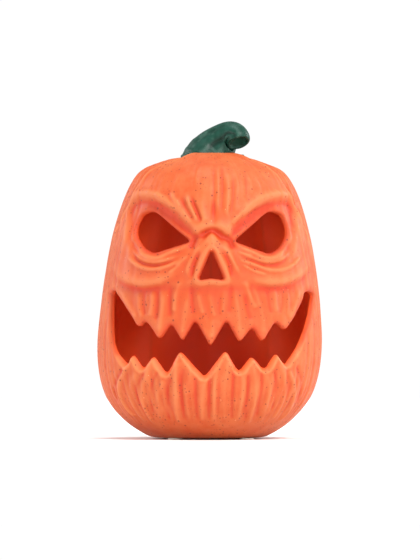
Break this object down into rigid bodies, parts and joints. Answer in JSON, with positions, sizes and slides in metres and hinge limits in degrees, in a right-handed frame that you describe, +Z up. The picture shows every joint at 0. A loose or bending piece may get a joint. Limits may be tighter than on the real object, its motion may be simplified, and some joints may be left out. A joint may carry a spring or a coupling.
{
  "type": "carved pumpkin lantern figure",
  "caption": "Hollow glazed pumpkin figure with a carved jack-o'-lantern face cut through the wall, a drooping green stem and a push-in battery light in the base.",
  "frame": {"origin": "on the table, under the middle of the foot", "axes": "+Z up, the carved face looks along -Y, +X at the viewer's right when facing the figure"},
  "size_m": [0.1422, 0.1414, 0.2006],
  "materials": {
    "orange_glaze": "satin orange glaze with iron specks, paler where it breaks over edges, deeper in the hollows",
    "green_glaze": "glossy dark green glaze with lighter grey-green patches",
    "pad_felt": "pressed felt, self-adhesive",
    "housing_plastic": "fine spark-eroded texture",
    "milky_plastic": "milky translucent, smooth",
    "black_rubber": "matte moulded rubber",
    "led_resin": "clear warm-tinted epoxy",
    "tinned_metal": "tinned wire",
    "board_laminate": "green solder mask over glass laminate",
    "black_resin": "moulded black resin",
    "resistor_enamel": "beige enamel with colour bands",
    "screw_steel": "zinc plated",
    "cell_steel": "spun nickel-plated steel",
    "contact_brass": "spring brass strip",
    "switch_plastic": "black moulded knob with grip lines",
    "red_insulation": "red wire insulation",
    "black_insulation": "black wire insulation"
  },
  "bodies": {
    "figure": {"shell": "orange_glaze", "stem": "green_glaze", "foot_pad_1": "pad_felt", "foot_pad_2": "pad_felt", "foot_pad_3": "pad_felt", "foot_pad_4": "pad_felt"},
    "light_unit": {"light_housing": "housing_plastic", "grip_ring": "black_rubber", "top_cap": "housing_plastic", "diffuser_dome": "milky_plastic", "led": "led_resin", "led_lead_anode": "tinned_metal", "led_lead_cathode": "tinned_metal", "circuit_board": "board_laminate", "timer_chip": "black_resin", "resistor": "resistor_enamel", "board_screw_1": "screw_steel", "board_screw_2": "screw_steel", "coin_cell": "cell_steel", "contact_positive": "contact_brass", "contact_negative": "contact_brass", "switch_body": "black_resin", "wire_red": "red_insulation", "wire_black": "black_insulation"},
    "battery_door": {"battery_door": "housing_plastic"},
    "switch_slider": {"switch_slider": "switch_plastic"}
  },
  "joints": [
    {"name": "unit_pull", "type": "slide", "parent": "figure", "child": "light_unit", "axis": [0, 0, -1], "range_m": [0, 0.034]},
    {"name": "door_twist", "type": "hinge", "parent": "light_unit", "child": "battery_door", "pos_m": [-0.0055, 0, 0.0032], "axis": [0, 0, 1], "range_deg": [0, 60]},
    {"name": "switch_slide", "type": "slide", "parent": "light_unit", "child": "switch_slider", "axis": [0, 1, 0], "range_m": [0, 0.0034]}
  ]
}
